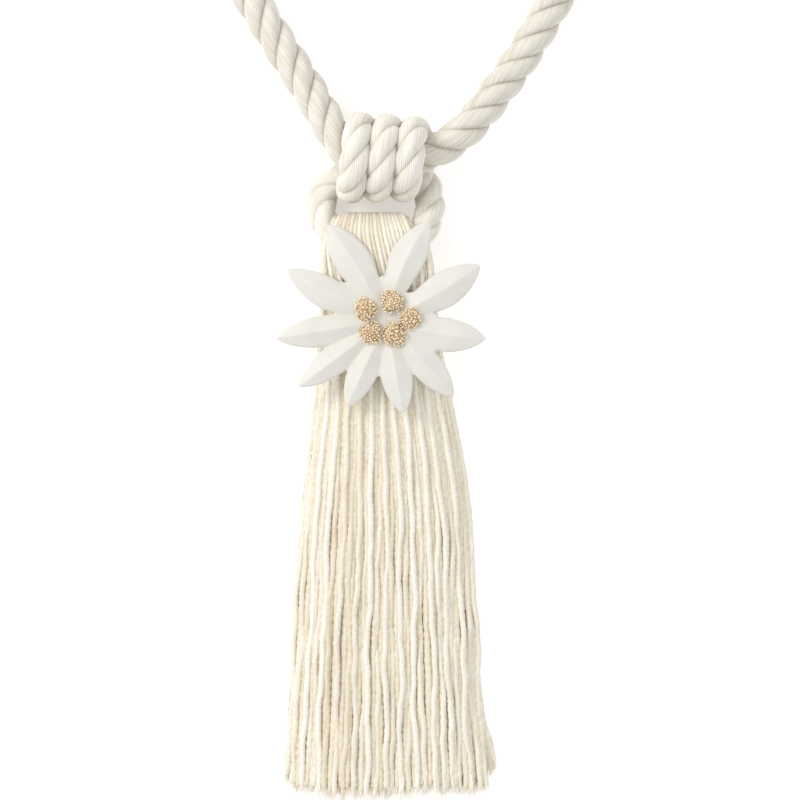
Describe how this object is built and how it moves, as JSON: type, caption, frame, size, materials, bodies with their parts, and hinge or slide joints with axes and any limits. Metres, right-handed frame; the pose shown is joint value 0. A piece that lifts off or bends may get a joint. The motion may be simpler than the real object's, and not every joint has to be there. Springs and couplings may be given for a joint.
{
  "type": "curtain tieback",
  "caption": "Rope curtain tieback: a thick twisted rope loop, a coiled thin rope bail and a long folded-yarn tassel with a moulded white petal flower and stamen clusters on its front.",
  "frame": {"origin": "middle of the flat back of the tassel's head, on the surface that the tieback lies on", "axes": "+Y along the tieback from the tassel's ends to the rope loop, +Z out of its front, +X to the right seen from the front"},
  "size_m": [0.2222, 0.5731, 0.0441],
  "materials": {
    "thick_rope": "natural cotton rope, matt",
    "thin_rope": "natural cotton rope, matt",
    "yarn": "cream cotton yarn, matt",
    "resin": "cast white, satin matt",
    "stamens": "fine beige grains, matt"
  },
  "bodies": {
    "root": {"loop_rope": "thick_rope", "bail_rope": "thin_rope", "tassel": "yarn", "flower": "resin", "stamens_1": "stamens", "stamens_2": "stamens", "stamens_3": "stamens", "stamens_4": "stamens", "stamens_5": "stamens"}
  },
  "joints": []
}
